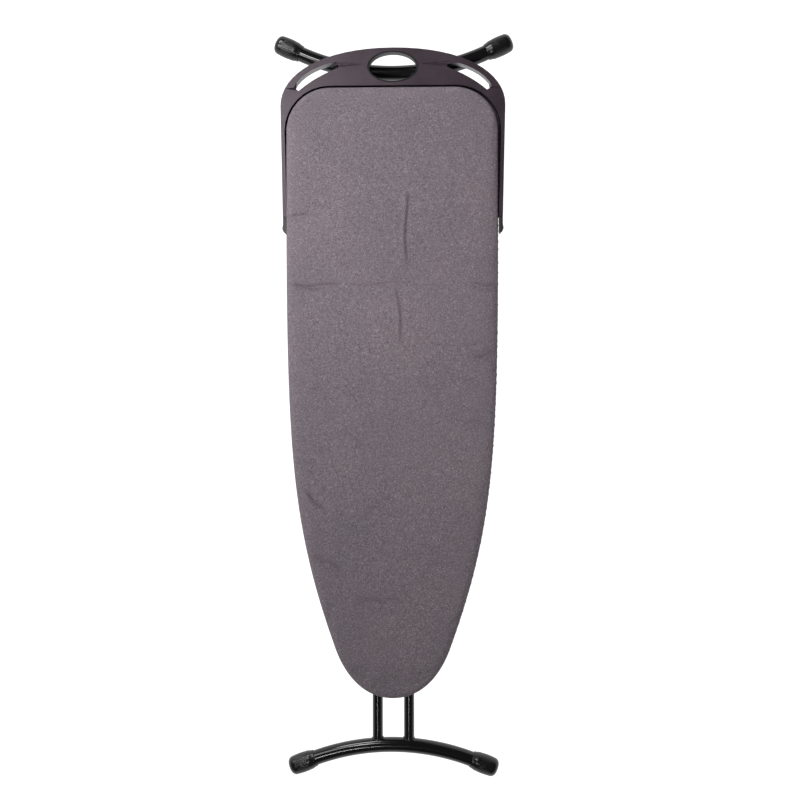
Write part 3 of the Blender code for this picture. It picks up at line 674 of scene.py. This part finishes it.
def gathers(outline_place):
    """The height of the elastic's gathers at places round the outline, from -1 to 1."""
    turns = outline_place * PERIMETER
    first = np.sin(TAU * turns / 0.0127 + 1.9 * np.sin(TAU * turns / 0.089))
    second = np.sin(TAU * turns / 0.0213 + 1.3 * np.sin(TAU * turns / 0.151))
    return 0.62 * first + 0.38 * second


def finish_cover(obj):
    """Adds the folds, the waves and the hem's gathers to the puffed cover, and stores the painted shade for
    the folds' grooves.
    """
    count = len(obj.data.vertices)
    points = np.empty(count * 3)
    obj.data.vertices.foreach_get("co", points)
    points = points.reshape(-1, 3)
    normals = np.empty(count * 3)
    obj.data.vertices.foreach_get("normal", normals)
    normals = normals.reshape(-1, 3)
    y = points[:, 1] - NOSE_Y
    flat = np.column_stack([points[:, 0] - seat(points[:, 0], y), y])
    on_top = np.clip((points[:, 2] - (COVER_HIGH[2] - 0.008)) / 0.005, 0, 1)
    folds, shade = fold_height(flat)
    lift = on_top * (folds + soft_waves(flat))
    # Painted shade: how far each point on the top is darkened in the folds' grooves, read by the fabric
    # material.
    painted_fold_shade = obj.data.attributes.new("fold_shade", "FLOAT", "POINT")
    painted_fold_shade.data.foreach_set("value", shade * on_top)
    low = np.clip((COVER_HIGH[2] - 0.012 - points[:, 2]) / 0.016, 0, 1)
    nearest = nearest_place(flat)
    pleats = gathers(nearest) * low**1.5
    fullness = (GATHER_REST - gathers(nearest)) * low**1.5
    inside = np.clip((inset_of(flat, nearest) - 0.004) / 0.012, 0, 1)
    points += normals * lift[:, None]
    points += normals * (GATHER_HEIGHT * fullness * (1 - inside))[:, None]
    points[:, 2] -= 0.0016 * (pleats + 0.6) * inside
    obj.data.vertices.foreach_set("co", points.ravel())
    obj.data.update()


NEAREST_BATCH = 4000


def nearest_place(flat):
    """For each (x, along) point, the place round the outline that is nearest, from 0 to 1."""
    place = np.zeros(len(flat))
    for start in range(0, len(flat), NEAREST_BATCH):
        part = flat[start : start + NEAREST_BATCH]
        distance = ((part[:, None, :] - OUTLINE[None, :, :]) ** 2).sum(axis=2)
        index = distance.argmin(axis=1)
        after = (index + 1) % COVER_POINTS
        run = OUTLINE[after] - OUTLINE[index]
        share = ((part - OUTLINE[index]) * run).sum(axis=1) / (run**2).sum(axis=1)
        place[start : start + NEAREST_BATCH] = (index + share) / COVER_POINTS
    return place


def inset_of(flat, place):
    """How far inside the outline each point lies."""
    where = (place * COVER_POINTS) % COVER_POINTS
    index = where.astype(int) % COVER_POINTS
    offset = flat - OUTLINE[index]
    return (offset * INWARD[index]).sum(axis=1)


def make_cover():
    """The fabric: puffed over its pad, rolled round the rim and gathered into a hem under it."""
    rings = cover_rings(COVER_HIGH[2] - 0.0012)
    closing = []
    hem = rings[-1]
    middle = spine(OUTLINE)
    for t in (0.25, 0.5, 0.75, 1.0):
        flat = hem[:, :2] + (middle - hem[:, :2]) * t
        closing.append(np.column_stack([flat, hem[:, 2]]))
    points = to_world(np.concatenate(rings + closing))
    rows = len(rings) + len(closing)
    faces = grid_faces(rows, COVER_POINTS, close_columns=True)
    data = mesh_from("cover_cloth", points, faces, merge=MERGE)
    obj = new_object("cover_cloth", data, "fabric", "board")
    low = COVER_LOW[2] + 0.001
    pinned = [v.index for v in data.vertices if v.co.z < low]
    run_cloth(obj, pinned, 4.0, CLOTH_CAP, COVER_HIGH[2] - 0.0070)
    open_underside(obj, hem)
    fine = obj.modifiers.new("fine", "SUBSURF")
    fine.levels = 1
    fine.render_levels = 1
    apply_modifiers(obj)
    finish_cover(obj)
    thick = obj.modifiers.new("thick", "SOLIDIFY")
    thick.thickness = 0.0009
    thick.offset = -1.0
    obj.data.shade_smooth()
    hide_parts("cover")
    return obj


def open_underside(obj, hem):
    """Removes the faces that only closed the cover for the simulation."""
    shape = bmesh.new()
    shape.from_mesh(obj.data)
    low = COVER_LOW[2] + 0.001
    middles = np.array([tuple(f.calc_center_median()) for f in shape.faces])
    y = middles[:, 1] - NOSE_Y
    flat = np.column_stack([middles[:, 0] - seat(middles[:, 0], y), y])
    inset = inset_of(flat, nearest_place(flat))
    extra = [
        f for f, depth in zip(shape.faces, inset)
        if max(v.co.z for v in f.verts) < low and depth > HEM_REACH + 0.003
    ]
    bmesh.ops.delete(shape, geom=extra, context="FACES")
    bmesh.ops.recalc_face_normals(shape, faces=shape.faces)
    up = sum(f.normal.z * f.calc_area() for f in shape.faces)
    if up < 0:
        bmesh.ops.reverse_faces(shape, faces=shape.faces)
    shape.to_mesh(obj.data)
    shape.free()


def apply_modifiers(obj):
    graph = bpy.context.evaluated_depsgraph_get()
    data = bpy.data.meshes.new_from_object(obj.evaluated_get(graph))
    old = obj.data
    obj.modifiers.clear()
    obj.data = data
    bpy.data.meshes.remove(old)


TAPE_RADIUS = 0.0015


def make_hem_tape():
    """The elastic tape sewn along the gathered hem."""
    count = 900
    places = np.arange(count) / count
    index = places * COVER_POINTS
    low = np.floor(index).astype(int) % COVER_POINTS
    share = (index - np.floor(index))[:, None]
    edge = OUTLINE[low] * (1 - share) + OUTLINE[(low + 1) % COVER_POINTS] * share
    inward = INWARD[low] * (1 - share) + INWARD[(low + 1) % COVER_POINTS] * share
    wave = gathers(places)
    flat = edge + inward * (HEM_REACH + 0.0022 + 0.0004 * wave[:, None])
    z = COVER_LOW[2] + 0.0002 - 0.0016 * (wave + 0.6)
    path = to_world(np.column_stack([flat, z]))
    path = [tuple(p) for p in path]
    return swept("hem_tape", path, TAPE_RADIUS, "black_tape", "board", sides=10, closed=True)


# The rings that follow the cover: those of the pad's flat top, and the upper half of its round edge.
PAD_TOP_RINGS = 24
PAD_UPPER_EDGE_RINGS = 3
PAD_GAP = 0.0018
PAD_THINNEST = 0.0005


def make_pad(cover):
    """The felt pad under the cover: a slab with a soft edge, whose top follows the inside of the cover."""
    low = PAD_LOW[2]
    high = PAD_HIGH[2] - 0.0024
    thick = high - low
    middle = spine(OUTLINE)
    rings = []
    edge = OUTLINE + INWARD * PAD_INSET
    for t in np.linspace(0, 1, PAD_TOP_RINGS):
        rings.append(np.column_stack([middle + (edge - middle) * t, np.full(len(edge), high)]))
    for degrees in (30, 60, 90, 120, 150):
        a = math.radians(degrees)
        flat = edge - INWARD * (thick / 2 * math.sin(a))
        rings.append(np.column_stack([flat, np.full(len(edge), low + thick / 2 * (1 + math.cos(a)))]))
    for t in np.linspace(1, 0, 12):
        rings.append(np.column_stack([middle + (edge - middle) * t, np.full(len(edge), low)]))
    points = to_world(np.concatenate(rings))
    top_count = len(edge) * (PAD_TOP_RINGS + PAD_UPPER_EDGE_RINGS)
    skin = BVHTree.FromObject(cover, bpy.context.evaluated_depsgraph_get())
    for point in points[:top_count]:
        hit = skin.ray_cast(Vector((point[0], point[1], COVER_HIGH[2] + 0.05)), Vector((0, 0, -1)))[0]
        if hit is not None:
            gap = PAD_GAP + 0.5 * max(0.0, high - point[2])
            point[2] = max(low + PAD_THINNEST, hit.z - gap)
    faces = grid_faces(len(rings), COVER_POINTS, close_columns=True)
    data = mesh_from("pad_felt", points, faces, merge=MERGE)
    obj = new_object("pad_felt", data, "felt", "board")
    obj.data.shade_smooth()
    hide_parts("foam_pad")
    return obj


# Steel under the board ----------------------------------------------------------------------------


def make_panel_mesh():
    """Expanded steel mesh: staggered diamonds with thin strands, framed by a plain margin."""
    pitch_x = 0.0170
    pitch_y = 0.0300
    strand = 0.0016
    margin = 0.0155
    shape = bmesh.new()
    rows = int(TAIL_Y / (pitch_y / 2)) + 2
    columns = int(HALF_WIDTH / pitch_x) + 2
    half = board_half()
    for row in range(rows):
        y = row * pitch_y / 2
        shift = (row % 2) * pitch_x / 2
        for column in range(-columns, columns + 1):
            x = column * pitch_x + shift
            if not cell_inside(half, x, y, pitch_x / 2, pitch_y / 2, margin - 0.004):
                continue
            outer = [(x + pitch_x / 2, y), (x, y + pitch_y / 2), (x - pitch_x / 2, y), (x, y - pitch_y / 2)]
            shrink_x = strand / pitch_x * 2.2
            shrink_y = strand / pitch_y * 2.2
            inner = [
                (x + pitch_x / 2 * (1 - shrink_x), y), (x, y + pitch_y / 2 * (1 - shrink_y * 1.6)),
                (x - pitch_x / 2 * (1 - shrink_x), y), (x, y - pitch_y / 2 * (1 - shrink_y * 1.6)),
            ]
            ring = [shape.verts.new((px, along(py), PANEL_TOP - 0.0002)) for px, py in outer]
            hole = [shape.verts.new((px, along(py), PANEL_TOP - 0.0004)) for px, py in inner]
            for i in range(4):
                shape.faces.new((ring[i], ring[(i + 1) % 4], hole[(i + 1) % 4], hole[i]))
    bmesh.ops.remove_doubles(shape, verts=shape.verts, dist=0.0001)
    add_margin(shape, margin)
    data = bpy.data.meshes.new("panel_mesh")
    shape.to_mesh(data)
    shape.free()
    obj = new_object("panel_mesh", data, "steel", "board")
    thick = obj.modifiers.new("thick", "SOLIDIFY")
    thick.thickness = 0.0006
    thick.offset = -1.0
    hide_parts("board_panel")
    return obj


def cell_inside(half, x, y, reach_x, reach_y, margin):
    if y - reach_y < margin * 0.8 or y + reach_y > TAIL_Y - margin:
        return False
    for py in (y - reach_y, y, y + reach_y):
        limit = np.interp(py, half[:-1, 1], half[:-1, 0]) if py <= half[-2, 1] else half[-2, 0]
        if abs(x) + reach_x * (1.0 if py == y else 0.0) > limit - margin:
            return False
    return True


def add_margin(shape, width):
    """The plain rolled margin between the mesh and the rim."""
    rows = []
    for inset in (0.0040, width + 0.006):
        flat = OUTLINE + INWARD * inset
        rows.append([shape.verts.new((x, along(y), PANEL_TOP - 0.0001)) for x, y in flat])
    for i in range(COVER_POINTS):
        j = (i + 1) % COVER_POINTS
        shape.faces.new((rows[0][i], rows[0][j], rows[1][j], rows[1][i]))


# Legs and feet ------------------------------------------------------------------------------------


def leg_start(kind):
    joint = JOINTS["legs_unfold" if kind == "front" else "carriage_turn"]
    return Vector(joint["pos_m"])


def leg_direction(kind):
    towards = -1 if kind == "front" else 1
    return Vector((0, towards * math.cos(FOLDED_ANGLE), -math.sin(FOLDED_ANGLE)))


def foot_arc(kind, x):
    """The foot's centre line at x."""
    sweep = FOOT_SWEEP[kind]
    reach = FOOT_ARC_RADIUS * math.sin(sweep)
    middle = leg_start(kind) + leg_direction(kind) * LEG_LENGTH[kind]
    if abs(x) <= reach:
        drop = FOOT_ARC_RADIUS - math.sqrt(FOOT_ARC_RADIUS**2 - x * x)
    else:
        drop = FOOT_ARC_RADIUS * (1 - math.cos(sweep)) + (abs(x) - reach) * math.tan(sweep)
    return middle + Vector((x, 0, 0)) + leg_direction(kind) * drop


def foot_tip(kind, side):
    """Where a foot's end cap starts, and the way it points."""
    sweep = FOOT_SWEEP[kind]
    start = foot_arc(kind, side * FOOT_ARC_RADIUS * math.sin(sweep))
    return start, Vector((side * math.cos(sweep), 0, 0)) + leg_direction(kind) * math.sin(sweep)


def make_foot_tube(kind):
    sweep = FOOT_SWEEP[kind]
    end = FOOT_ARC_RADIUS * math.sin(sweep) + (FOOT_END_LENGTH - 0.014) * math.cos(sweep)
    path = [foot_arc(kind, end * (2 * i / 120 - 1)) for i in range(121)]
    body = BODY_OF[kind + "_foot_tube"]
    tube = swept(kind + "_foot", path, FOOT_RADIUS, "black_tube", body, sides=48)
    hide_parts(kind + "_foot_tube")
    return tube


WELD_RADIUS = 0.0017


def make_weld(kind, side):
    """The weld bead where a leg tube meets its foot."""
    axis = leg_direction(kind)
    up = axis.cross(Vector((1, 0, 0))).normalized()
    path = []
    x0 = side * LEG_X[kind]
    for i in range(72):
        angle = TAU * i / 72
        across = LEG_RADIUS * math.cos(angle)
        rise = LEG_RADIUS * math.sin(angle)
        centre = foot_arc(kind, x0 + across)
        back = math.sqrt(FOOT_RADIUS**2 - rise**2)
        path.append(centre + up * rise - axis * (back + 0.0006))
    name = f"{kind}_weld_{'right' if side > 0 else 'left'}"
    body = BODY_OF[kind + "_foot_tube"]
    return swept(
        name, path, WELD_RADIUS, "black_tube", body, sides=10, closed=True, wobble=0.35, seed=7
    )


def make_foot_cap(kind, side):
    """A black end cap: a flared collar, a barrel with fine ribs along it, and a rounded end."""
    start, axis = foot_tip(kind, side)
    r = CAP_RADIUS
    inside = FOOT_RADIUS + 0.0004
    profile = [(inside, 0.0045), (inside, 0.0), (inside + 0.0008, -0.0002), (inside + 0.0013, 0.0006)]
    for i in range(9):
        t = i / 8
        profile.append((inside + 0.0014 + (r - inside - 0.0020) * t * t * (3 - 2 * t), 0.0012 + 0.0128 * t))
    ribbed_from = len(profile)
    for i in range(13):
        t = i / 12
        profile.append((r - 0.0006 + 0.0006 * math.sin(math.pi * t), 0.0150 + 0.0290 * t))
    ribbed_to = len(profile)
    corner = 0.0125
    for i in range(1, 9):
        a = math.radians(90 * i / 8)
        profile.append((r - 0.0006 - corner * (1 - math.cos(a)), CAP_LENGTH - corner + corner * math.sin(a)))
    profile += [(0.0070, CAP_LENGTH), (0.0064, CAP_LENGTH - 0.0007), (0.0, CAP_LENGTH - 0.0007)]
    word = "right" if side > 0 else "left"
    node = f"{kind}_foot_cap_{word}"

    def ribs(angle, index):
        if not ribbed_from <= index < ribbed_to:
            return 1.0
        place = (index - ribbed_from) / (ribbed_to - ribbed_from - 1)
        fade = min(1.0, 6 * place, 6 * (1 - place))
        return 1.0 - 0.019 * fade * (0.5 - 0.5 * math.cos(angle * 30)) ** 3

    name = f"{kind}_cap_{word}"
    cap = lathe(name, profile, start, axis, "cap_plastic", BODY_OF[node], 240, ribs)
    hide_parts(node)
    return cap


# Tail frame ---------------------------------------------------------------------------------------


def make_grip_ring():
    """The oval lining of the grip hole: two thin raised beads with a groove between them."""
    top = FRAME_HIGH[2]
    section = [
        (0.0, top - 0.0275), (0.0, top - 0.0010), (0.0003, top + 0.0012), (0.0007, top + 0.0018),
        (0.0012, top + 0.0018), (0.0015, top + 0.0012), (0.0017, top + 0.0003), (0.0021, top + 0.0003),
        (0.0023, top + 0.0010), (0.0028, top + 0.0014), (0.0033, top + 0.0010), (0.0035, top - 0.0006),
        (0.0035, top - 0.0040), (0.0035, top - 0.0262),
    ]
    count = 160
    points = []
    for inset, z in section:
        for k in range(count):
            angle = TAU * k / count
            x = (GRIP_HALF[0] - 0.0003 - inset) * math.cos(angle)
            y = (GRIP_HALF[1] - 0.0003 - inset * 0.62) * math.sin(angle)
            points.append((x, along(GRIP_ALONG) + y, max(z, FRAME_LOW[2])))
    faces = grid_faces(len(section), count, close_rows=True, close_columns=True)
    data = mesh_from("grip_ring", points, faces, merge=MERGE)
    ring = smooth(new_object("grip_ring", data, "black_plastic", "board"), 50)
    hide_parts("handle_ring")
    return ring


# Camera, light and floor --------------------------------------------------------------------------

CAMERA_DISTANCE = 2.80
CAMERA_YAW = math.radians(-2.0)
VIEW_WIDTH = 1.679
SENSOR = 0.036
LOOK_AT = Vector((0.0159, along(0.6286), COVER_HIGH[2]))


def make_camera():
    data = bpy.data.cameras.new("camera")
    data.sensor_width = SENSOR * 1000
    data.lens = data.sensor_width * CAMERA_DISTANCE / VIEW_WIDTH
    data.clip_end = 50
    camera = bpy.data.objects.new("camera", data)
    bpy.context.scene.collection.objects.link(camera)
    forward = Vector((math.sin(CAMERA_YAW), 0, -math.cos(CAMERA_YAW)))
    right = forward.cross(Vector((0, 1, 0))).normalized()
    up = right.cross(forward)
    turn = Matrix((right, up, -forward)).transposed().to_4x4()
    camera.matrix_world = Matrix.Translation(LOOK_AT - forward * CAMERA_DISTANCE) @ turn
    bpy.context.scene.camera = camera


def floor_height():
    """The level on which both feet stand when the legs are fully open."""
    hinge = leg_start("front")
    leg = LEG_LENGTH["front"] + FOOT_ARC_RADIUS * (1 - math.cos(FOOT_SWEEP["front"]))
    leg += FOOT_END_LENGTH * math.sin(FOOT_SWEEP["front"])
    return hinge.z - leg * math.sin(OPEN_ANGLE) - CAP_RADIUS


def add_light(name, place, target, size, power, colour=(1, 1, 1)):
    data = bpy.data.lights.new(name, "AREA")
    data.shape = "RECTANGLE"
    data.size, data.size_y = size
    data.energy = power
    data.color = colour
    light = bpy.data.objects.new(name, data)
    bpy.context.scene.collection.objects.link(light)
    light.location = place
    light.rotation_euler = (Vector(target) - Vector(place)).to_track_quat("-Z", "Y").to_euler()
    return light


def make_floor():
    level = floor_height()
    shape = bmesh.new()
    bmesh.ops.create_circle(shape, cap_ends=True, segments=96, radius=40.0)
    data = bpy.data.meshes.new("floor")
    shape.to_mesh(data)
    shape.free()
    floor = bpy.data.objects.new("floor", data)
    bpy.context.scene.collection.objects.link(floor)
    floor.location = (0, 0, level)
    look = Look("pale_floor", (0.30, 0.30, 0.30), 0.95)
    look.set("Specular IOR Level", 0.0)
    look.set("Emission Color", (1.0, 1.0, 1.0, 1.0))
    look.set("Emission Strength", 1.02)
    data.materials.append(look.material)


# The studio's walls are white up to this share of the way to the zenith, and its ceiling is dim.
HORIZON_BAND = (0.12, 0.40)
SKY_STRENGTH = 0.12


def make_lights():
    world = bpy.data.worlds.new("studio")
    bpy.context.scene.world = world
    world.use_nodes = True
    background = world.node_tree.nodes["Background"]
    background.inputs["Color"].default_value = (1.0, 1.0, 1.0, 1.0)
    tree = world.node_tree
    place = tree.nodes.new("ShaderNodeTexCoord")
    split = tree.nodes.new("ShaderNodeSeparateXYZ")
    fade = tree.nodes.new("ShaderNodeMapRange")
    fade.interpolation_type = "SMOOTHSTEP"
    fade.inputs["From Min"].default_value = HORIZON_BAND[0]
    fade.inputs["From Max"].default_value = HORIZON_BAND[1]
    fade.inputs["To Min"].default_value = 1.0
    fade.inputs["To Max"].default_value = SKY_STRENGTH
    tree.links.new(place.outputs["Generated"], split.inputs["Vector"])
    tree.links.new(split.outputs["Z"], fade.inputs["Value"])
    tree.links.new(fade.outputs["Result"], background.inputs["Strength"])
    key = add_light("key_left", (-1.00, 0.50, 1.25), (0.0, 0.35, 0.0), (0.6, 1.1), 6.0)
    key.data.spread = math.radians(105)
    add_light("key_tail", (-0.75, 1.75, 1.30), (0.0, 0.35, 0.0), (0.8, 0.4), 16)
    add_light("key_high", (-0.62, 1.05, 2.45), (0.0, 0.35, 0.0), (0.35, 0.55), 11.5)
    add_light("strip_nose", (-0.55, -1.12, 2.75), (0.0, -0.6, 0.0), (1.1, 0.08), 9)


# Build --------------------------------------------------------------------------------------------

bpy.context.scene.view_settings.view_transform = "Standard"

make_camera()
make_floor()
make_lights()

make_pad(make_cover())
make_hem_tape()
make_panel_mesh()
for kind in ("front", "rear"):
    make_foot_tube(kind)
    for side in (1, -1):
        make_foot_cap(kind, side)
        make_weld(kind, side)
make_grip_ring()

# How wide the rounding of each carried-over piece's edges is. The others get EDGE_WIDTH.
EDGE_WIDTH = 0.0003
FINE = {
    "tail_frame": 0.0014, "arm_clip_left": 0.0015, "arm_clip_right": 0.0015, "board_rim": 0.0005,
    "slide_rail_left": 0.0005, "slide_rail_right": 0.0005, "front_brace": 0.0004, "middle_brace": 0.0004,
    "rear_brace": 0.0004, "frame_bracket_left": 0.0005, "frame_bracket_right": 0.0005,
    "slide_shoe_left": 0.0010, "slide_shoe_right": 0.0010, "lever_grip": 0.0006, "release_lever": 0.0005,
    "lever_yoke": 0.0004, "rack": 0.0004, "hinge_bracket_left": 0.0004, "hinge_bracket_right": 0.0004,
    "hinge_axle": 0.0008, "slide_bar": 0.0008, "lever_pin": 0.0004, "front_leg_brace": 0.0006,
    "rear_leg_brace": 0.0006,
}
DONE = {"board_panel", "cover", "foam_pad", "handle_ring"}
DONE |= {f"{k}_foot_tube" for k in ("front", "rear")}
DONE |= {f"{k}_foot_cap_{s}" for k in ("front", "rear") for s in ("left", "right")}
for node in sorted(BODY_OF):
    if node not in DONE:
        refine(node, FINE.get(node, EDGE_WIDTH), whole=node not in {"tail_frame", "board_rim"})
